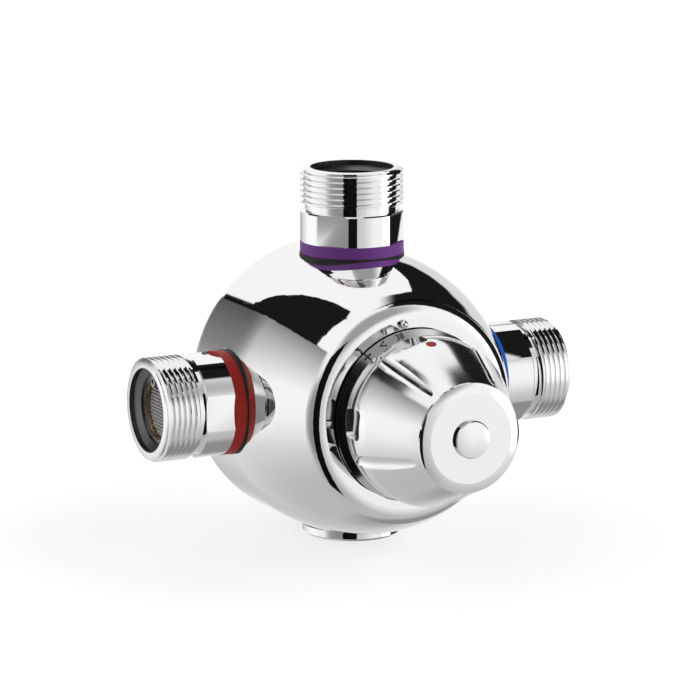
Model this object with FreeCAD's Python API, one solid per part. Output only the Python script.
import FreeCAD, Part
import math
import os

# A group mixing valve for pipework: two side inlets, an outlet on top, a blanked outlet below and a knob in front.
# Millimetres. X runs along the inlets (hot at -X), +Z up through the outlet, and the knob faces -Y.
# The origin is where the port axes cross the knob's axis. A station is a distance from it along a piece's axis.

Vector = FreeCAD.Vector

# Fits
FIXED_GAP = 0.10
RUNNING_GAP = 0.06
FREE_GAP = 0.40
STOP_GAP = 0.30

# How far a cutter runs past what it cuts, how far a rib runs into a wall, and how near two lengths count as the same
OVERCUT = 1.0
RIB_ROOT = 0.5
SAME = 0.01

# Body casting
BARREL_R = 58.75
BARREL_ARC_R = 101.0
BACK_STATION = -36.0
BACK_ROUND_R = 10.0
FACE_STATION = 54.0
FACE_ROUND_R = 8.0
WALL_THICKNESS = 6.0
RIB_THICKNESS = 6.0
CHAMBER_INNER_R = 32.0
CHAMBER_HALF_DEPTH = 24.0

# Front recess, seen round the knob's skirt
RECESS_R = 35.1
RECESS_STATION = 46.0
NUT_BORE_R = 29.0
SLEEVE_FLANGE_STATION = 30.0

# Cartridge
CARTRIDGE_BORE_R = 26.0
SLEEVE_END_STATION = -28.0
SLEEVE_FLANGE_THICKNESS = 4.0
SLIDE_BORE_R = 18.0
SLEEVE_END_WALL = 4.0
GALLERY_R = 28.5
GALLERY_HALF_WIDTH = 4.0
HOT_GALLERY_STATION = 12.0
MIXED_GALLERY_STATION = 0.0
COLD_GALLERY_STATION = -12.0
GALLERY_SLOT_WIDTH = 26.0
WINDOW_HALF_WIDTH = 3.2
WINDOW_SPAN = 14.0
CARTRIDGE_SEAL_STATIONS = (20.5, 6.0, -6.0, -20.5)
CARTRIDGE_SEAL_R = 1.0
SEAL_SQUEEZE_GAP = 0.05
HEAD_FLANGE_THICKNESS = 4.0
HEAD_NECK_R = 13.0
HEAD_SHOULDER = 3.0
HEAD_SHOULDER_CAP = 2.0
HEAD_CHAMFER = 0.6
HEAD_END_STATION = 56.0
NUT_THICKNESS = 7.0
NUT_INNER_R = 18.0
NUT_SLOT_WIDTH = 4.0
NUT_SLOT_DEPTH = 3.0
NUT_SLOT_END_R = 23.0

# Mixing slide and what moves with it
SLIDE_HALF_LENGTH = 11.0
SLIDE_LAND_WIDTH = 5.0
SLIDE_WAIST_R = 15.5
SLIDE_HUB_R = 9.0
SLIDE_SPOKE_WIDTH = 4.0
SLIDE_SPOKE_COUNT = 4
SLIDE_SPOKE_ANGLE = 22.5
SLIDE_PORT_R = 2.6
SLIDE_PORT_COUNT = 8
SLIDE_TUBE_R = 12.5
ELEMENT_R = 6.0
ELEMENT_END_STATION = -19.0
ELEMENT_COLLAR_R = 8.0
ELEMENT_COLLAR_THICKNESS = 2.0
ELEMENT_CHAMFER = 1.0
ELEMENT_NECK_R = 4.5
ELEMENT_NECK_LENGTH = 3.0
ELEMENT_PIN_R = 2.0
ELEMENT_PIN_LENGTH = 10.0
ROD_R = 5.0
ROD_CUP_R = 7.0
ROD_CUP_THICKNESS = 4.0
ROD_CUP_DEPTH = 2.0
ROD_END_STATION = 48.0

# Spindle
SPINDLE_R = 9.0
SPINDLE_COLLAR_R = 11.2
SPINDLE_COLLAR_THICKNESS = 2.6
SPINDLE_COLLAR_STATION = 37.0
SPINDLE_SHOULDER_STATION = 62.0
SPINDLE_END_STATION = 81.0
SPINDLE_HEX_AF = 12.0
SPINDLE_BORE_END_STATION = 53.0
SPINDLE_SEAL_R = 1.0
SPINDLE_SEAL_STATION = 48.0
SCREW_R = 3.0
SCREW_HEAD_R = 5.0
SCREW_HEAD_HEIGHT = 5.0
SCREW_LENGTH = 16.0
SCREW_END_GAP = 1.0
SCREW_KEY_AF = 5.0
SCREW_KEY_DEPTH = 2.6

# Limit stop between the head and the knob
STOP_RING_STATION = 50.0
STOP_RING_THICKNESS = 3.6
STOP_RING_R = 18.0
STOP_LUG_R = 24.5
STOP_LUG_HALF_ANGLE = 22.0
KNOB_LUG_R = 21.0
KNOB_LUG_HALF_ANGLE = 22.0

# Knob: the skirt carries the dial marks, the lobes carry the grip
SKIRT_R = RECESS_R - FREE_GAP
SKIRT_REAR_STATION = 49.5
SKIRT_EDGE_STATION = 55.6
SKIRT_FRONT_R = 31.8
SKIRT_FRONT_STATION = 57.5
SKIRT_INNER_R = 29.6
KNOB_TUBE_WALL = 2.2
LOBE_SWELL_R = 33.8
LOBE_SWELL_STATION = 67.5
LOBE_SHOULDER_R = 32.4
LOBE_SHOULDER_STATION = 75.5
LOBE_SLOPE_R = 27.0
LOBE_SLOPE_STATION = 87.8
NECK_R = 21.2
NECK_STATION = 98.9
KNOB_CAVITY_END_R = 20.0
KNOB_WEB_STATION = 79.0
KNOB_WEB_THICKNESS = 5.0
KNOB_HUB_R = 12.0
KNOB_FRONT_BORE_R = 15.0
LOBE_COUNT = 5
FLUTE_ANGLE = -39.5
FLUTE_CUTTER_R = 4.0
FLUTE_DEPTH = 1.4
FLUTE_START = 0.3
FLUTE_END = 2.6
FLUTE_PATH_SPANS = 6
POCKET_ANGLE = -14.5
POCKET_WIDTH = 12.0
POCKET_LENGTH = 13.5
POCKET_START = 1.0
POCKET_CORNER_R = 2.4
POCKET_FLOOR_R = 30.4
DOT_ANGLE = -5.5
DOT_STATION = 74.5
DOT_R = 2.1
DOT_DEPTH = 0.7

# Cap and button
CAP_FACE_STATION = 101.66
CAP_R = 21.76
CAP_FLAT_R = 17.62
CAP_EDGE_STATION = 100.3
CAP_UNDERCUT = 0.4
CAP_BEVEL_BULGE = 0.15
CAP_SPIGOT_LENGTH = 9.0
CAP_SPIGOT_INNER_R = 10.6
CAP_LIP_THICKNESS = 3.4
BUTTON_R = 7.41
BUTTON_PROUD = 2.5
BUTTON_DOME = 0.7
BUTTON_EDGE = 0.4
BUTTON_COLLAR_R = 9.6
BUTTON_COLLAR_THICKNESS = 1.6
BUTTON_SPRING_R = 7.6
BUTTON_SPRING_WIRE = 0.9
BUTTON_SPRING_TURNS = 4

# Index pin at the edge of the recess
PIN_R = 1.7
PIN_WALL = 0.45
PIN_CENTRE_R = RECESS_R + PIN_R + PIN_WALL
PIN_ANGLE = -7.6
PIN_STATION = 55.3
PIN_DEPTH = 5.0

# Ports. The male thread is G 1 1/4, a plain cylinder here: 41.91 over its crests. Each radius follows from it.
THREAD_R = 20.955
THREAD_DEPTH = 1.479
THREAD_ROOT_R = THREAD_R - THREAD_DEPTH
RELIEF_R = THREAD_ROOT_R - 0.376
WRENCH_HALF_FLATS = THREAD_R - 1.105
WRENCH_CHAMFER = 0.5
RING_R = THREAD_R + 0.095
SEAL_R = THREAD_R + 0.245
SPOT_FACE_R = SEAL_R + 0.15
SPIGOT_R = THREAD_R - 2.655
SEAL_INNER_R = SPIGOT_R + 0.3
MOUTH_R = THREAD_R - 4.205
MOUTH_DEPTH = 2.1
MOUTH_CONE_LENGTH = 1.75
PORT_BORE_R = SPIGOT_R - 4.4
PORT_INNER_R = PORT_BORE_R - 1.9
PORT_PASSAGE_R = PORT_INNER_R + 2.0
PORT_BOSS_R = SPIGOT_R + 4.7
PLUG_R = THREAD_R - 0.565
PLUG_HOLLOW_R = SPIGOT_R - 5.3
PLUG_CHAMFER = 1.0
PLUG_FLOOR = 5.0
RIM_CHAMFER = 0.9
RIM_R = THREAD_ROOT_R - 0.15

# Ports, along their axes, from the flat that each is faced to on the barrel
SPOT_FACE_DEPTH = 0.133
SPOT_FACE_STATION = math.sqrt(BARREL_R**2 - SPOT_FACE_R**2) - SPOT_FACE_DEPTH
SEAL_THICKNESS = 2.4
PLUG_SEAL_THICKNESS = 0.8
RING_THICKNESS = 4.7
WRENCH_LENGTH = 12.5
RELIEF_WIDTH = 2.646
THREAD_LENGTH = 14.754
RING_STATION = SPOT_FACE_STATION + SEAL_THICKNESS
WRENCH_START_STATION = RING_STATION + RING_THICKNESS
RELIEF_START_STATION = WRENCH_START_STATION + WRENCH_LENGTH
THREAD_START_STATION = RELIEF_START_STATION + RELIEF_WIDTH
PORT_RIM_STATION = THREAD_START_STATION + THREAD_LENGTH
PORT_SHOULDER_STATION = WRENCH_START_STATION - 1.7
SPIGOT_END_STATION = SPOT_FACE_STATION - 10.6
PORT_BOSS_STATION = SPIGOT_END_STATION - 3.0
PLUG_STATION = SPOT_FACE_STATION + PLUG_SEAL_THICKNESS
PLUG_END_STATION = SPOT_FACE_STATION + 5.0

# Filter and non-return valve of each inlet
CIRCLIP_STATION = PORT_RIM_STATION - 5.9
CIRCLIP_THICKNESS = 1.2
CIRCLIP_GROOVE_R = PORT_BORE_R + 1.0
CIRCLIP_OUTER_R = CIRCLIP_GROOVE_R - 0.3
CIRCLIP_INNER_R = CIRCLIP_OUTER_R - 2.1
CIRCLIP_GAP_ANGLE = 44.0
CIRCLIP_LUG_R = 2.3
CIRCLIP_LUG_SPAN = 9.0
CIRCLIP_LUG_HOLE_R = 0.95
CIRCLIP_LUG_CENTRE_R = CIRCLIP_INNER_R - 1.2
FILTER_THICKNESS = 3.0
FILTER_R = PORT_BORE_R - FIXED_GAP
FILTER_OPEN_R = FILTER_R - 1.7
FILTER_LEDGE_R = FILTER_OPEN_R - 0.9
FILTER_LEDGE_THICKNESS = 1.4
MESH_THICKNESS = 0.6
MESH_PITCH = 2.1
MESH_HOLE = 1.5
HOUSING_R = PORT_BORE_R - FIXED_GAP
HOUSING_BORE_R = HOUSING_R - 3.0
HOUSING_SEAT_R = HOUSING_BORE_R - 3.2
HOUSING_SEAT_THICKNESS = 3.6
HOUSING_SPIDER_THICKNESS = 2.4
HOUSING_HUB_R = 3.6
HOUSING_RIB_WIDTH = 2.0
POPPET_R = HOUSING_BORE_R - 1.4
POPPET_DISC_THICKNESS = 2.4
POPPET_STEM_R = 2.0
POPPET_TAIL = 1.5
POPPET_FLARE = 1.5
POPPET_CHAMFER = 0.6
POPPET_NOSE_GAP = 2.0
POPPET_NOSE_TAPER = 2.0
POPPET_NOSE_HEIGHT = 1.2
CHECK_SPRING_R = 5.4
CHECK_SPRING_WIRE = 0.7
CHECK_SPRING_TURNS = 5
RETURN_SPRING_R = 13.9
RETURN_SPRING_WIRE = 1.2
RETURN_SPRING_TURNS = 2.5

# Directions that a turned piece's axis can take
ORIGIN = Vector(0, 0, 0)
TO_FRONT = FreeCAD.Placement(ORIGIN, FreeCAD.Rotation(Vector(1, 0, 0), 90))
TO_HOT = FreeCAD.Placement(ORIGIN, FreeCAD.Rotation(Vector(0, 1, 0), -90))
TO_COLD = FreeCAD.Placement(ORIGIN, FreeCAD.Rotation(Vector(0, 1, 0), 90))
TO_TOP = FreeCAD.Placement(ORIGIN, FreeCAD.Rotation(Vector(0, 0, 1), 0))
TO_BOTTOM = FreeCAD.Placement(ORIGIN, FreeCAD.Rotation(Vector(1, 0, 0), 180))
PORTS = {"hot": TO_HOT, "cold": TO_COLD, "mixed": TO_TOP}
FLAT_ANGLES = {"hot": 0.0, "cold": 45.0, "mixed": 50.0}

os.makedirs("parts", exist_ok=True)


def moved(shape, placement):
    """A copy of a shape, set along an axis."""
    placed = shape.copy()
    placed.transformShape(placement.toMatrix(), True)
    return placed


def export(shape, node, placement=TO_TOP):
    """Writes one piece, set along its axis, to its own file."""
    moved(shape, placement).exportStep("parts/" + node + ".step")


def outline(start, *steps):
    """A closed outline of (station, radius) points; a step of two points is an arc through the first."""
    edges = []
    here = Vector(start[1], 0, start[0])
    first = here
    for step in steps:
        if isinstance(step[0], tuple):
            middle = Vector(step[0][1], 0, step[0][0])
            end = Vector(step[1][1], 0, step[1][0])
            edges.append(Part.Arc(here, middle, end).toShape())
        else:
            end = Vector(step[1], 0, step[0])
            edges.append(Part.LineSegment(here, end).toShape())
        here = end
    edges.append(Part.LineSegment(here, first).toShape())
    return Part.Face(Part.Wire(edges))


def turned(start, *steps):
    """A solid turned round the local Z axis from an outline of (station, radius) points."""
    return outline(start, *steps).revolve(ORIGIN, Vector(0, 0, 1), 360)


def disc(station, end_station, radius):
    """A plain cylinder between two stations."""
    return Part.makeCylinder(radius, end_station - station, Vector(0, 0, station))


def ring(station, end_station, radius, inner_radius):
    """A plain ring between two stations."""
    return disc(station, end_station, radius).cut(disc(station, end_station, inner_radius))


def block(x_low, x_high, y_low, y_high, z_low, z_high):
    """A box between two corners."""
    return Part.makeBox(x_high - x_low, y_high - y_low, z_high - z_low, Vector(x_low, y_low, z_low))


def spun(shape, angle):
    """A copy of a shape turned about the local Z axis; a positive angle turns from up towards +X on the front."""
    copy = shape.copy()
    copy.rotate(ORIGIN, Vector(0, 0, 1), -angle)
    return copy


def around(shape, count, first_angle=0.0):
    """Copies of a shape spread evenly about the local Z axis."""
    return [spun(shape, first_angle + 360.0 * index / count) for index in range(count)]


def wedge(half_angle, reach, station, end_station):
    """A prism that covers a sector of the given reach about the local +Y direction."""
    angle = math.radians(half_angle)
    side = Vector(reach * math.sin(angle), reach * math.cos(angle), station)
    other = Vector(-side.x, side.y, station)
    tip = Vector(0, reach / math.cos(angle), station)
    sector = Part.makePolygon([Vector(0, 0, station), side, tip, other, Vector(0, 0, station)])
    return Part.Face(sector).extrude(Vector(0, 0, end_station - station))


def hexagon(across_flats, station, end_station):
    """A hexagonal prism between two stations."""
    corner_r = across_flats / math.sqrt(3)
    corners = [
        Vector(corner_r * math.cos(math.radians(60 * n)), corner_r * math.sin(math.radians(60 * n)), station)
        for n in range(7)
    ]
    return Part.Face(Part.makePolygon(corners)).extrude(Vector(0, 0, end_station - station))


def o_ring(station, centre_r, section_r):
    """A round sealing ring."""
    return Part.makeTorus(centre_r, section_r, Vector(0, 0, station), Vector(0, 0, 1))


def coil(station, end_station, centre_r, wire_r, turns):
    """A coil spring between two stations, whose wire just reaches both."""
    height = end_station - station - 2 * wire_r
    path = Part.makeHelix(height / turns, height, centre_r)
    section = Part.Wire(Part.makeCircle(wire_r, Vector(centre_r, 0, 0), Vector(0, 1, 0)))
    spring = Part.Wire(path).makePipeShell([section], True, True)
    spring.translate(Vector(0, 0, station + wire_r))
    return spring


def barrel_radius(station):
    """The body's outer radius in front of the port axes."""
    return BARREL_R - BARREL_ARC_R + math.sqrt(BARREL_ARC_R**2 - station**2)


def valve_body():
    """The casting: a barrel with a flat front, four chambers and a stepped bore for the cartridge."""
    middle_station = FACE_STATION / 2
    corner_r = BARREL_R - BACK_ROUND_R
    corner = BACK_ROUND_R * math.sqrt(0.5)
    casting = turned(
        (BACK_STATION, 0),
        (BACK_STATION, corner_r),
        (
            (BACK_STATION + BACK_ROUND_R - corner, corner_r + corner),
            (BACK_STATION + BACK_ROUND_R, BARREL_R),
        ),
        (0, BARREL_R),
        ((middle_station, barrel_radius(middle_station)), (FACE_STATION, barrel_radius(FACE_STATION))),
        (FACE_STATION, 0),
    )
    front_edge = [
        edge for edge in casting.Edges
        if edge.Closed and abs(edge.BoundBox.ZMin - FACE_STATION) < SAME and edge.BoundBox.ZLength < SAME
    ]
    casting = casting.makeFillet(FACE_ROUND_R, front_edge)
    bore = turned(
        (SLEEVE_END_STATION - FIXED_GAP, 0),
        (SLEEVE_END_STATION - FIXED_GAP, CARTRIDGE_BORE_R),
        (SLEEVE_FLANGE_STATION, CARTRIDGE_BORE_R),
        (SLEEVE_FLANGE_STATION, NUT_BORE_R),
        (RECESS_STATION, NUT_BORE_R),
        (RECESS_STATION, RECESS_R),
        (FACE_STATION, RECESS_R),
        (FACE_STATION, 0),
    )
    casting = casting.cut(bore)
    for station in (HOT_GALLERY_STATION, MIXED_GALLERY_STATION, COLD_GALLERY_STATION):
        casting = casting.cut(disc(station - GALLERY_HALF_WIDTH, station + GALLERY_HALF_WIDTH, GALLERY_R))
    casting = casting.cut(chambers())
    for angle, station in (
        (-90, HOT_GALLERY_STATION),
        (90, COLD_GALLERY_STATION),
        (0, MIXED_GALLERY_STATION),
        (180, MIXED_GALLERY_STATION),
    ):
        slot = block(
            -GALLERY_SLOT_WIDTH / 2,
            GALLERY_SLOT_WIDTH / 2,
            CARTRIDGE_BORE_R,
            CHAMBER_INNER_R + OVERCUT,
            station - GALLERY_HALF_WIDTH,
            station + GALLERY_HALF_WIDTH,
        )
        casting = casting.cut(spun(slot, angle))
    pin_hole = Part.makeCylinder(PIN_R + FIXED_GAP / 2, PIN_DEPTH, pin_centre(FACE_STATION - PIN_DEPTH))
    casting = moved(casting.cut(pin_hole), TO_FRONT)
    for direction in (TO_HOT, TO_COLD, TO_TOP, TO_BOTTOM):
        casting = casting.cut(moved(port_bore(), direction))
    return casting


def chambers():
    """Four hollows round the cartridge, parted by ribs and kept clear of the port bosses."""
    hollow = turned(
        (-CHAMBER_HALF_DEPTH, CHAMBER_INNER_R),
        (-CHAMBER_HALF_DEPTH, BARREL_R - WALL_THICKNESS),
        (0, BARREL_R - WALL_THICKNESS),
        (
            (CHAMBER_HALF_DEPTH / 2, barrel_radius(CHAMBER_HALF_DEPTH / 2) - WALL_THICKNESS),
            (CHAMBER_HALF_DEPTH, barrel_radius(CHAMBER_HALF_DEPTH) - WALL_THICKNESS),
        ),
        (CHAMBER_HALF_DEPTH, CHAMBER_INNER_R),
    )
    reach = BARREL_R + OVERCUT
    rib = block(-RIB_THICKNESS / 2, RIB_THICKNESS / 2, 0, reach, -reach, reach)
    for piece in around(rib, 4, 45):
        hollow = hollow.cut(piece)
    boss = Part.makeCylinder(PORT_BOSS_R, reach, Vector(0, PORT_BOSS_STATION, 0), Vector(0, 1, 0))
    for piece in around(boss, 4):
        hollow = hollow.cut(piece)
    return hollow


def port_bore():
    """What each port takes out of the casting: spot face, spigot bore and a passage into the chamber."""
    return turned(
        (CHAMBER_INNER_R + OVERCUT, 0),
        (CHAMBER_INNER_R + OVERCUT, PORT_PASSAGE_R),
        (SPIGOT_END_STATION, PORT_PASSAGE_R),
        (SPIGOT_END_STATION, SPIGOT_R + FIXED_GAP),
        (SPOT_FACE_STATION, SPIGOT_R + FIXED_GAP),
        (SPOT_FACE_STATION, SPOT_FACE_R),
        (PORT_RIM_STATION, SPOT_FACE_R),
        (PORT_RIM_STATION, 0),
    )


def pin_centre(station):
    """The index pin's place on the front face."""
    angle = math.radians(PIN_ANGLE)
    return Vector(PIN_CENTRE_R * math.sin(angle), PIN_CENTRE_R * math.cos(angle), station)


def index_pin():
    """A round-ended pin that the dial marks are read against."""
    shank = Part.makeCylinder(PIN_R, PIN_STATION - FACE_STATION + PIN_DEPTH, pin_centre(FACE_STATION - PIN_DEPTH))
    return shank.fuse(Part.makeSphere(PIN_R, pin_centre(PIN_STATION)))


def port_outside(flat_angle):
    """A union's outside: spigot, spanner section with four flats, relief groove and the thread's crests."""
    outside = turned(
        (SPIGOT_END_STATION, 0),
        (SPIGOT_END_STATION, SPIGOT_R),
        (WRENCH_START_STATION, SPIGOT_R),
        (WRENCH_START_STATION, THREAD_R),
        (RELIEF_START_STATION - WRENCH_CHAMFER, THREAD_R),
        (RELIEF_START_STATION, THREAD_R - WRENCH_CHAMFER),
        (RELIEF_START_STATION, RELIEF_R),
        (THREAD_START_STATION, RELIEF_R),
        (THREAD_START_STATION, THREAD_R),
        (PORT_RIM_STATION - RIM_CHAMFER, THREAD_R),
        (PORT_RIM_STATION, RIM_R),
        (PORT_RIM_STATION, 0),
    )
    flat = block(
        WRENCH_HALF_FLATS, THREAD_R + OVERCUT, -THREAD_R, THREAD_R, WRENCH_START_STATION, RELIEF_START_STATION
    )
    for piece in around(flat, 4, flat_angle):
        outside = outside.cut(piece)
    return outside


def port_mouth():
    """The stepped mouth and bore that each union has."""
    cone_station = PORT_RIM_STATION - MOUTH_DEPTH
    return turned(
        (PORT_SHOULDER_STATION, 0),
        (PORT_SHOULDER_STATION, PORT_BORE_R),
        (cone_station - MOUTH_CONE_LENGTH, PORT_BORE_R),
        (cone_station, MOUTH_R),
        (PORT_RIM_STATION, MOUTH_R),
        (PORT_RIM_STATION, 0),
    )


def union(name):
    """One screwed-in connection; an inlet's bore has a groove for the circlip."""
    solid = port_outside(FLAT_ANGLES[name]).cut(port_mouth())
    solid = solid.cut(disc(SPIGOT_END_STATION, PORT_SHOULDER_STATION, PORT_INNER_R))
    if name != "mixed":
        low = CIRCLIP_STATION - FIXED_GAP
        high = CIRCLIP_STATION + CIRCLIP_THICKNESS + FIXED_GAP
        solid = solid.cut(disc(low, high, CIRCLIP_GROOVE_R))
    return solid


def port_seal(thickness):
    """A flat seal on the casting's spot face."""
    return ring(SPOT_FACE_STATION, SPOT_FACE_STATION + thickness, SEAL_R, SEAL_INNER_R)


def coloured_ring():
    """The coloured ring that the union clamps against the seal."""
    return ring(RING_STATION, WRENCH_START_STATION, RING_R, SEAL_INNER_R)


def bottom_plug():
    """The blanking plug of the spare outlet, hollow from inside."""
    plug = turned(
        (SPIGOT_END_STATION, 0),
        (SPIGOT_END_STATION, SPIGOT_R),
        (PLUG_STATION, SPIGOT_R),
        (PLUG_STATION, PLUG_R),
        (PLUG_END_STATION - PLUG_CHAMFER, PLUG_R),
        (PLUG_END_STATION, PLUG_R - PLUG_CHAMFER),
        (PLUG_END_STATION, 0),
    )
    return plug.cut(disc(SPIGOT_END_STATION, PLUG_END_STATION - PLUG_FLOOR, PLUG_HOLLOW_R))


def circlip():
    """An internal circlip with two holed lugs beside its gap, which points up."""
    high = CIRCLIP_STATION + CIRCLIP_THICKNESS
    clip = ring(CIRCLIP_STATION, high, CIRCLIP_OUTER_R, CIRCLIP_INNER_R)
    lug_angle = CIRCLIP_GAP_ANGLE / 2
    clip = clip.cut(wedge(lug_angle - CIRCLIP_LUG_SPAN, CIRCLIP_OUTER_R + OVERCUT, CIRCLIP_STATION, high))
    for angle in (-lug_angle, lug_angle):
        centre = Vector(0, CIRCLIP_LUG_CENTRE_R, CIRCLIP_STATION)
        lug = Part.makeCylinder(CIRCLIP_LUG_R, CIRCLIP_THICKNESS, centre)
        hole = Part.makeCylinder(CIRCLIP_LUG_HOLE_R, CIRCLIP_THICKNESS, centre)
        clip = clip.fuse(spun(lug, angle)).cut(spun(hole, angle))
    return spun(clip.removeSplitter(), 90)


def filter_ring():
    """The brass ring that carries the mesh on a ledge, right behind the circlip."""
    station = CIRCLIP_STATION - FILTER_THICKNESS
    ledge_station = station + FILTER_LEDGE_THICKNESS
    return turned(
        (station, FILTER_LEDGE_R),
        (station, FILTER_R),
        (CIRCLIP_STATION, FILTER_R),
        (CIRCLIP_STATION, FILTER_OPEN_R),
        (ledge_station, FILTER_OPEN_R),
        (ledge_station, FILTER_LEDGE_R),
    )


def filter_mesh():
    """The strainer: one disc with square openings in rows."""
    station = CIRCLIP_STATION - FILTER_THICKNESS + FILTER_LEDGE_THICKNESS
    mesh = disc(station, station + MESH_THICKNESS, FILTER_OPEN_R - FIXED_GAP)
    half = MESH_HOLE / 2
    reach = int(FILTER_LEDGE_R / MESH_PITCH)
    holes = []
    for column in range(-reach, reach + 1):
        for row in range(-reach, reach + 1):
            x = column * MESH_PITCH
            y = row * MESH_PITCH
            if math.hypot(abs(x) + half, abs(y) + half) < FILTER_LEDGE_R:
                holes.append(block(x - half, x + half, y - half, y + half, station, station + MESH_THICKNESS))
    return mesh.cut(Part.makeCompound(holes))


def check_stations():
    """Where the non-return valve's housing ends, and where the front of its poppet rests."""
    top = CIRCLIP_STATION - FILTER_THICKNESS
    return top, top - HOUSING_SEAT_THICKNESS - STOP_GAP


def check_housing():
    """The housing of a non-return valve: a seat at the outer end, a spider with a guide hub at the inner one."""
    top, poppet_face = check_stations()
    spider = PORT_SHOULDER_STATION + HOUSING_SPIDER_THICKNESS
    housing = turned(
        (PORT_SHOULDER_STATION, HOUSING_BORE_R),
        (PORT_SHOULDER_STATION, HOUSING_R),
        (top, HOUSING_R),
        (top, HOUSING_SEAT_R),
        (poppet_face + STOP_GAP, HOUSING_SEAT_R),
        (poppet_face + STOP_GAP, HOUSING_BORE_R),
    )
    hub = disc(PORT_SHOULDER_STATION, spider, HOUSING_HUB_R)
    rib = block(
        -HOUSING_RIB_WIDTH / 2, HOUSING_RIB_WIDTH / 2, 0, HOUSING_BORE_R + RIB_ROOT, PORT_SHOULDER_STATION, spider
    )
    for piece in around(rib, 3):
        hub = hub.fuse(piece)
    hub = hub.cut(disc(PORT_SHOULDER_STATION, spider, POPPET_STEM_R + RUNNING_GAP))
    return housing.fuse(hub).removeSplitter()


def check_poppet():
    """The poppet: a disc that closes the seat from inside, on a stem guided by the spider."""
    poppet_face = check_stations()[1]
    disc_station = poppet_face - POPPET_DISC_THICKNESS
    nose_r = HOUSING_SEAT_R - POPPET_NOSE_GAP
    return turned(
        (PORT_SHOULDER_STATION - POPPET_TAIL, 0),
        (PORT_SHOULDER_STATION - POPPET_TAIL, POPPET_STEM_R),
        (disc_station - POPPET_FLARE, POPPET_STEM_R),
        (disc_station, POPPET_STEM_R + POPPET_FLARE),
        (disc_station, POPPET_R),
        (poppet_face - POPPET_CHAMFER, POPPET_R),
        (poppet_face, POPPET_R - POPPET_CHAMFER),
        (poppet_face, nose_r),
        (poppet_face + POPPET_NOSE_HEIGHT, nose_r - POPPET_NOSE_TAPER),
        (poppet_face + POPPET_NOSE_HEIGHT, 0),
    )


def check_spring():
    """The light spring that closes the poppet."""
    station = PORT_SHOULDER_STATION + HOUSING_SPIDER_THICKNESS
    end = check_stations()[1] - POPPET_DISC_THICKNESS
    return coil(station, end, CHECK_SPRING_R, CHECK_SPRING_WIRE, CHECK_SPRING_TURNS)


def cartridge_sleeve():
    """The brass sleeve that the slide runs in, with windows on each gallery and four seal grooves."""
    flange_end = SLEEVE_FLANGE_STATION + SLEEVE_FLANGE_THICKNESS
    sleeve = turned(
        (SLEEVE_END_STATION, 0),
        (SLEEVE_END_STATION, CARTRIDGE_BORE_R - FIXED_GAP),
        (SLEEVE_FLANGE_STATION, CARTRIDGE_BORE_R - FIXED_GAP),
        (SLEEVE_FLANGE_STATION, NUT_BORE_R - FREE_GAP),
        (flange_end, NUT_BORE_R - FREE_GAP),
        (flange_end, 0),
    )
    sleeve = sleeve.cut(disc(SLEEVE_END_STATION + SLEEVE_END_WALL, flange_end, SLIDE_BORE_R + RUNNING_GAP))
    sleeve = sleeve.cut(disc(SLEEVE_END_STATION, SLEEVE_END_STATION + SLEEVE_END_WALL, ELEMENT_R))
    for station in (HOT_GALLERY_STATION, MIXED_GALLERY_STATION, COLD_GALLERY_STATION):
        window = block(
            -WINDOW_SPAN / 2,
            WINDOW_SPAN / 2,
            0,
            CARTRIDGE_BORE_R + OVERCUT,
            station - WINDOW_HALF_WIDTH,
            station + WINDOW_HALF_WIDTH,
        )
        for piece in around(window, 4):
            sleeve = sleeve.cut(piece)
    for station in CARTRIDGE_SEAL_STATIONS:
        half = CARTRIDGE_SEAL_R + SEAL_SQUEEZE_GAP
        floor_r = CARTRIDGE_BORE_R - 2 * half
        sleeve = sleeve.cut(ring(station - half, station + half, CARTRIDGE_BORE_R + OVERCUT, floor_r))
    return sleeve


def mixing_slide():
    """The slide: two lands that share the hot and the cold windows, a waist, and a spoked hub."""
    land = SLIDE_HALF_LENGTH - SLIDE_LAND_WIDTH
    slide = turned(
        (-SLIDE_HALF_LENGTH, SLIDE_TUBE_R),
        (-SLIDE_HALF_LENGTH, SLIDE_BORE_R),
        (-land, SLIDE_BORE_R),
        (-land, SLIDE_WAIST_R),
        (land, SLIDE_WAIST_R),
        (land, SLIDE_BORE_R),
        (SLIDE_HALF_LENGTH, SLIDE_BORE_R),
        (SLIDE_HALF_LENGTH, SLIDE_TUBE_R),
    )
    port = Part.makeCylinder(SLIDE_PORT_R, SLIDE_BORE_R, ORIGIN, Vector(0, 1, 0))
    for piece in around(port, SLIDE_PORT_COUNT):
        slide = slide.cut(piece)
    hub = disc(land, SLIDE_HALF_LENGTH, SLIDE_HUB_R)
    spoke = block(
        -SLIDE_SPOKE_WIDTH / 2, SLIDE_SPOKE_WIDTH / 2, 0, SLIDE_TUBE_R + RIB_ROOT, land, SLIDE_HALF_LENGTH
    )
    for piece in around(spoke, SLIDE_SPOKE_COUNT, SLIDE_SPOKE_ANGLE):
        hub = hub.fuse(piece)
    slide = slide.fuse(hub).removeSplitter()
    return slide.cut(disc(land, SLIDE_HALF_LENGTH, ELEMENT_R + FIXED_GAP))


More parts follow.
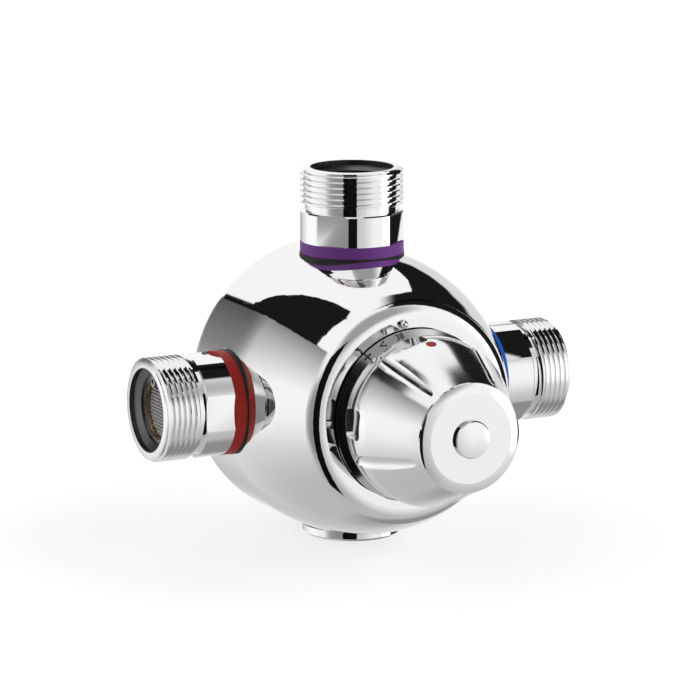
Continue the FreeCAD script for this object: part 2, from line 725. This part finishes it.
def temperature_element():
    """The wax-filled sensing element, with a collar on the slide's hub and a pin at the front."""
    collar_end = SLIDE_HALF_LENGTH + ELEMENT_COLLAR_THICKNESS
    neck = collar_end + ELEMENT_NECK_LENGTH
    return turned(
        (ELEMENT_END_STATION, 0),
        (ELEMENT_END_STATION, ELEMENT_R - ELEMENT_CHAMFER),
        (ELEMENT_END_STATION + ELEMENT_CHAMFER, ELEMENT_R),
        (SLIDE_HALF_LENGTH, ELEMENT_R),
        (SLIDE_HALF_LENGTH, ELEMENT_COLLAR_R),
        (collar_end, ELEMENT_COLLAR_R),
        (collar_end, ELEMENT_NECK_R),
        (neck, ELEMENT_NECK_R),
        (neck, ELEMENT_PIN_R),
        (neck + ELEMENT_PIN_LENGTH, ELEMENT_PIN_R),
        (neck + ELEMENT_PIN_LENGTH, 0),
    )


def rod_station():
    """Where the adjusting rod's cup meets the end of the element's pin."""
    return SLIDE_HALF_LENGTH + ELEMENT_COLLAR_THICKNESS + ELEMENT_NECK_LENGTH + ELEMENT_PIN_LENGTH


def adjusting_rod():
    """The rod that the spindle's thread drives along the axis."""
    cup = rod_station() - ROD_CUP_DEPTH
    return turned(
        (cup, ELEMENT_PIN_R + FIXED_GAP),
        (cup, ROD_CUP_R),
        (cup + ROD_CUP_THICKNESS, ROD_CUP_R),
        (cup + ROD_CUP_THICKNESS, ROD_R),
        (ROD_END_STATION, ROD_R),
        (ROD_END_STATION, 0),
        (rod_station(), 0),
        (rod_station(), ELEMENT_PIN_R + FIXED_GAP),
    )


def return_spring():
    """The spring that pushes the slide back towards the knob."""
    station = SLEEVE_END_STATION + SLEEVE_END_WALL
    return coil(station, -SLIDE_HALF_LENGTH, RETURN_SPRING_R, RETURN_SPRING_WIRE, RETURN_SPRING_TURNS)


def head_station():
    """Where the head's flange sits on the sleeve's."""
    return SLEEVE_FLANGE_STATION + SLEEVE_FLANGE_THICKNESS


def cartridge_head():
    """The head: a flange under the nut, and a neck that guides the spindle."""
    station = head_station()
    collar_top = SPINDLE_COLLAR_STATION + SPINDLE_COLLAR_THICKNESS + STOP_GAP
    flange_end = station + HEAD_FLANGE_THICKNESS
    groove = SPINDLE_SEAL_R + SEAL_SQUEEZE_GAP
    head = turned(
        (station, SPINDLE_COLLAR_R + FREE_GAP),
        (station, NUT_BORE_R - FREE_GAP),
        (flange_end, NUT_BORE_R - FREE_GAP),
        (flange_end, HEAD_NECK_R + HEAD_SHOULDER),
        (collar_top + HEAD_SHOULDER_CAP, HEAD_NECK_R + HEAD_SHOULDER),
        (collar_top + HEAD_SHOULDER_CAP + HEAD_SHOULDER, HEAD_NECK_R),
        (HEAD_END_STATION - HEAD_CHAMFER, HEAD_NECK_R),
        (HEAD_END_STATION, HEAD_NECK_R - HEAD_CHAMFER),
        (HEAD_END_STATION, SPINDLE_R + RUNNING_GAP),
        (SPINDLE_SEAL_STATION + groove, SPINDLE_R + RUNNING_GAP),
        (SPINDLE_SEAL_STATION + groove, spindle_seal_centre() + groove),
        (SPINDLE_SEAL_STATION - groove, spindle_seal_centre() + groove),
        (SPINDLE_SEAL_STATION - groove, SPINDLE_R + RUNNING_GAP),
        (collar_top, SPINDLE_R + RUNNING_GAP),
        (collar_top, SPINDLE_COLLAR_R + FREE_GAP),
    )
    return head


def spindle_seal_centre():
    """The centre radius of the spindle's seal, clear of the turning spindle."""
    return SPINDLE_R + FREE_GAP + SPINDLE_SEAL_R


def retaining_nut():
    """The ring nut that clamps the head into the casting, with four spanner slots."""
    station = head_station() + HEAD_FLANGE_THICKNESS
    end = station + NUT_THICKNESS
    nut = ring(station, end, NUT_BORE_R - FIXED_GAP, NUT_INNER_R)
    half = NUT_SLOT_WIDTH / 2
    slot = block(-half, half, NUT_INNER_R - OVERCUT, NUT_SLOT_END_R, end - NUT_SLOT_DEPTH, end)
    for piece in around(slot, 4, 45):
        nut = nut.cut(piece)
    return nut


def spindle():
    """The spindle: a collar under the head, a threaded bore for the rod, and a hexagon for the knob."""
    collar_end = SPINDLE_COLLAR_STATION + SPINDLE_COLLAR_THICKNESS
    shaft = turned(
        (SPINDLE_COLLAR_STATION, 0),
        (SPINDLE_COLLAR_STATION, SPINDLE_COLLAR_R),
        (collar_end, SPINDLE_COLLAR_R),
        (collar_end, SPINDLE_R),
        (SPINDLE_SHOULDER_STATION, SPINDLE_R),
        (SPINDLE_SHOULDER_STATION, 0),
    )
    shaft = shaft.fuse(hexagon(SPINDLE_HEX_AF, SPINDLE_SHOULDER_STATION, SPINDLE_END_STATION))
    shaft = shaft.cut(disc(SPINDLE_COLLAR_STATION, SPINDLE_BORE_END_STATION, ROD_R + RUNNING_GAP))
    screw_end = SPINDLE_END_STATION - SCREW_LENGTH
    return shaft.cut(disc(screw_end, SPINDLE_END_STATION, SCREW_R + FIXED_GAP))


def knob_screw():
    """The socket screw that holds the knob on the spindle."""
    station = KNOB_WEB_STATION + KNOB_WEB_THICKNESS
    screw = turned(
        (SPINDLE_END_STATION - SCREW_LENGTH + SCREW_END_GAP, 0),
        (SPINDLE_END_STATION - SCREW_LENGTH + SCREW_END_GAP, SCREW_R),
        (station, SCREW_R),
        (station, SCREW_HEAD_R),
        (station + SCREW_HEAD_HEIGHT, SCREW_HEAD_R),
        (station + SCREW_HEAD_HEIGHT, 0),
    )
    end = station + SCREW_HEAD_HEIGHT
    return screw.cut(hexagon(SCREW_KEY_AF, end - SCREW_KEY_DEPTH, end))


def limit_stop_ring():
    """The stop on the head's neck, whose lug limits how far the knob turns."""
    end = STOP_RING_STATION + STOP_RING_THICKNESS
    lug = ring(STOP_RING_STATION, end, STOP_LUG_R, HEAD_NECK_R + FIXED_GAP)
    lug = lug.common(wedge(STOP_LUG_HALF_ANGLE, STOP_LUG_R + OVERCUT, STOP_RING_STATION, end))
    stop = ring(STOP_RING_STATION, end, STOP_RING_R, HEAD_NECK_R + FIXED_GAP)
    return stop.fuse(spun(lug, 180)).removeSplitter()


def scale_ring():
    """The knob's sloping skirt, which carries the dial marks."""
    return turned(
        (SKIRT_REAR_STATION, SKIRT_INNER_R),
        (SKIRT_REAR_STATION, SKIRT_R),
        (SKIRT_EDGE_STATION, SKIRT_R),
        (SKIRT_FRONT_STATION, SKIRT_FRONT_R),
        (SKIRT_FRONT_STATION, SKIRT_INNER_R),
    )


def lobe_form():
    """The knob's outside before the grips are cut: it swells a little, then slopes in to the neck."""
    return turned(
        (SKIRT_FRONT_STATION, 0),
        (SKIRT_FRONT_STATION, SKIRT_FRONT_R),
        ((LOBE_SWELL_STATION, LOBE_SWELL_R), (LOBE_SHOULDER_STATION, LOBE_SHOULDER_R)),
        ((LOBE_SLOPE_STATION, LOBE_SLOPE_R), (NECK_STATION, NECK_R)),
        (NECK_STATION, 0),
    )


def lobe_arcs():
    """The two arcs of the lobes' outside, from the skirt to the neck."""
    shoulder = Vector(LOBE_SHOULDER_R, 0, LOBE_SHOULDER_STATION)
    lower = Part.Arc(
        Vector(SKIRT_FRONT_R, 0, SKIRT_FRONT_STATION), Vector(LOBE_SWELL_R, 0, LOBE_SWELL_STATION), shoulder
    )
    upper = Part.Arc(shoulder, Vector(LOBE_SLOPE_R, 0, LOBE_SLOPE_STATION), Vector(NECK_R, 0, NECK_STATION))
    return lower.toShape().Curve, upper.toShape().Curve


def lobe_radius(station):
    """The lobes' outer radius at a station."""
    lower, upper = lobe_arcs()
    arc = lower if station < LOBE_SHOULDER_STATION else upper
    return arc.Center.x + math.sqrt(arc.Radius**2 - (station - arc.Center.z) ** 2)


def flute_cutter():
    """A round cutter that follows the lobe: it leaves the surface at both ends and is deepest in the middle."""
    first = SKIRT_FRONT_STATION + FLUTE_START
    length = NECK_STATION - FLUTE_END - first
    points = []
    for span in range(-1, FLUTE_PATH_SPANS + 2):
        share = span / FLUTE_PATH_SPANS
        station = first + length * share
        surface_r = lobe_radius(min(max(station, SKIRT_FRONT_STATION), NECK_STATION))
        depth = FLUTE_DEPTH * math.sin(math.pi * share)
        points.append(Vector(0, surface_r - depth + FLUTE_CUTTER_R, station))
    path = Part.BSplineCurve()
    path.interpolate(points)
    spine = Part.Wire(path.toShape())
    section = Part.Wire(Part.makeCircle(FLUTE_CUTTER_R, points[0], points[1] - points[0]))
    return spine.makePipeShell([section], True, False)


def pocket_cutter():
    """A rounded block that sinks one finger pocket at the foot of a lobe."""
    station = SKIRT_FRONT_STATION + POCKET_START
    outer = LOBE_SWELL_R + OVERCUT
    pocket = block(
        -POCKET_WIDTH / 2, POCKET_WIDTH / 2, POCKET_FLOOR_R, outer, station, station + POCKET_LENGTH
    )
    upright = [edge for edge in pocket.Edges if abs(edge.BoundBox.YLength - (outer - POCKET_FLOOR_R)) < SAME]
    return pocket.makeFillet(POCKET_CORNER_R, upright)


def dot_cutter():
    """A short cylinder square to the lobe's slope, where the red dot is let in."""
    rise = lobe_radius(DOT_STATION + DOT_R) - lobe_radius(DOT_STATION - DOT_R)
    slope = math.atan2(rise, 2 * DOT_R)
    outward = Vector(0, math.cos(slope), -math.sin(slope))
    foot = Vector(0, lobe_radius(DOT_STATION), DOT_STATION) - outward * DOT_DEPTH
    return spun(Part.makeCylinder(DOT_R, DOT_DEPTH + OVERCUT, foot, outward), DOT_ANGLE)


def knob_solids():
    """The knob's body and the red dot that fills its own recess."""
    web_end = KNOB_WEB_STATION + KNOB_WEB_THICKNESS
    tube_inner_r = SKIRT_INNER_R - FIXED_GAP - KNOB_TUBE_WALL
    knob = lobe_form()
    tube = disc(SKIRT_REAR_STATION, SKIRT_FRONT_STATION, SKIRT_INNER_R - FIXED_GAP)
    knob = knob.fuse(tube)
    knob = knob.cut(turned(
        (SKIRT_REAR_STATION, 0),
        (SKIRT_REAR_STATION, tube_inner_r),
        (LOBE_SWELL_STATION, tube_inner_r),
        (KNOB_WEB_STATION, KNOB_CAVITY_END_R),
        (KNOB_WEB_STATION, 0),
    ))
    knob = knob.cut(disc(web_end, NECK_STATION, KNOB_FRONT_BORE_R))
    knob = knob.fuse(disc(SPINDLE_SHOULDER_STATION, web_end, KNOB_HUB_R))
    knob = knob.cut(hexagon(SPINDLE_HEX_AF + 2 * FIXED_GAP, SPINDLE_SHOULDER_STATION, SPINDLE_END_STATION))
    knob = knob.cut(disc(SPINDLE_SHOULDER_STATION, web_end, SCREW_R + FIXED_GAP))
    for piece in around(flute_cutter(), LOBE_COUNT, FLUTE_ANGLE):
        knob = knob.cut(piece)
    for piece in around(pocket_cutter(), LOBE_COUNT, POCKET_ANGLE):
        knob = knob.cut(piece)
    lug_end = STOP_RING_STATION + STOP_RING_THICKNESS
    lug = ring(STOP_RING_STATION, lug_end, tube_inner_r + RIB_ROOT, KNOB_LUG_R)
    lug = lug.common(wedge(KNOB_LUG_HALF_ANGLE, LOBE_SWELL_R, STOP_RING_STATION, lug_end))
    knob = knob.fuse(lug)
    dot = knob.common(dot_cutter())
    return knob.cut(dot_cutter()).removeSplitter(), dot


def knob_cap():
    """The round cap: a flat face, a rolled bevel, a spigot in the knob and a hole for the button."""
    rise = CAP_FACE_STATION - CAP_EDGE_STATION
    run = CAP_R - CAP_FLAT_R
    bulge = CAP_BEVEL_BULGE / math.hypot(rise, run)
    bevel_middle = (CAP_EDGE_STATION + rise / 2 + run * bulge, CAP_R - run / 2 + rise * bulge)
    cap = turned(
        (NECK_STATION, 0),
        (NECK_STATION, CAP_R - CAP_UNDERCUT),
        (NECK_STATION + CAP_UNDERCUT, CAP_R),
        (CAP_EDGE_STATION, CAP_R),
        (bevel_middle, (CAP_FACE_STATION, CAP_FLAT_R)),
        (CAP_FACE_STATION, 0),
    )
    spigot = disc(NECK_STATION - CAP_SPIGOT_LENGTH, NECK_STATION, KNOB_FRONT_BORE_R - FIXED_GAP)
    cap = cap.fuse(spigot).removeSplitter()
    lip = CAP_FACE_STATION - CAP_LIP_THICKNESS
    cap = cap.cut(disc(NECK_STATION - CAP_SPIGOT_LENGTH, lip, CAP_SPIGOT_INNER_R))
    return cap.cut(disc(lip, CAP_FACE_STATION, BUTTON_R + RUNNING_GAP))


def push_button():
    """The small button, with a dished dome and a collar that the cap's lip holds in."""
    lip = CAP_FACE_STATION - CAP_LIP_THICKNESS
    top = CAP_FACE_STATION + BUTTON_PROUD
    collar_top = lip - STOP_GAP
    dome_r = BUTTON_R - BUTTON_EDGE
    sphere_r = (dome_r**2 + BUTTON_DOME**2) / (2 * BUTTON_DOME)
    half_r = dome_r / 2
    half_drop = sphere_r - math.sqrt(sphere_r**2 - half_r**2)
    return turned(
        (collar_top - BUTTON_COLLAR_THICKNESS, 0),
        (collar_top - BUTTON_COLLAR_THICKNESS, BUTTON_COLLAR_R),
        (collar_top, BUTTON_COLLAR_R),
        (collar_top, BUTTON_R),
        (top - BUTTON_DOME - BUTTON_EDGE, BUTTON_R),
        (top - BUTTON_DOME, dome_r),
        ((top - half_drop, half_r), (top, 0)),
    )


def button_spring():
    """The spring that lifts the button, round the screw's head."""
    lip = CAP_FACE_STATION - CAP_LIP_THICKNESS
    end = lip - STOP_GAP - BUTTON_COLLAR_THICKNESS
    station = KNOB_WEB_STATION + KNOB_WEB_THICKNESS
    return coil(station, end, BUTTON_SPRING_R, BUTTON_SPRING_WIRE, BUTTON_SPRING_TURNS)


def export_ports():
    """The pieces of the three connections and the plug."""
    for name, direction in PORTS.items():
        side = "outlet" if name == "mixed" else "inlet"
        export(union(name), name + "_" + side + "_union", direction)
        export(port_seal(SEAL_THICKNESS), name + "_port_seal", direction)
        export(coloured_ring(), name + "_ring", direction)
    export(bottom_plug(), "bottom_plug", TO_BOTTOM)
    export(port_seal(PLUG_SEAL_THICKNESS), "plug_seal", TO_BOTTOM)


def export_inlet_fittings():
    """The circlip, filter and non-return valve of each inlet."""
    for name in ("hot", "cold"):
        direction = PORTS[name]
        turn = 90 if name == "hot" else -90
        export(spun(circlip(), turn - 90), name + "_circlip", direction)
        export(filter_ring(), name + "_filter_ring", direction)
        export(filter_mesh(), name + "_filter_mesh", direction)
        export(check_housing(), name + "_check_housing", direction)
        export(check_poppet(), name + "_check_poppet", direction)
        export(check_spring(), name + "_check_spring", direction)


def export_cartridge():
    """The cartridge, from its sleeve to its head."""
    export(cartridge_sleeve(), "cartridge_sleeve", TO_FRONT)
    for number, station in enumerate(CARTRIDGE_SEAL_STATIONS, 1):
        centre_r = CARTRIDGE_BORE_R - CARTRIDGE_SEAL_R - SEAL_SQUEEZE_GAP
        export(o_ring(station, centre_r, CARTRIDGE_SEAL_R), "cartridge_seal_" + str(number), TO_FRONT)
    export(mixing_slide(), "mixing_slide", TO_FRONT)
    export(temperature_element(), "temperature_element", TO_FRONT)
    export(adjusting_rod(), "adjusting_rod", TO_FRONT)
    export(return_spring(), "return_spring", TO_FRONT)
    export(cartridge_head(), "cartridge_head", TO_FRONT)
    export(retaining_nut(), "retaining_nut", TO_FRONT)
    export(spindle(), "spindle", TO_FRONT)
    export(o_ring(SPINDLE_SEAL_STATION, spindle_seal_centre(), SPINDLE_SEAL_R), "spindle_seal", TO_FRONT)
    export(limit_stop_ring(), "limit_stop_ring", TO_FRONT)


def export_knob():
    """The knob, its cap and what they hold."""
    knob, dot = knob_solids()
    export(knob, "knob_body", TO_FRONT)
    export(dot, "red_dot", TO_FRONT)
    export(scale_ring(), "scale_ring", TO_FRONT)
    export(knob_screw(), "knob_screw", TO_FRONT)
    export(knob_cap(), "knob_cap", TO_FRONT)
    export(push_button(), "push_button", TO_FRONT)
    export(button_spring(), "button_spring", TO_FRONT)


export(valve_body(), "valve_body")
export(index_pin(), "index_pin", TO_FRONT)
export_ports()
export_inlet_fittings()
export_cartridge()
export_knob()
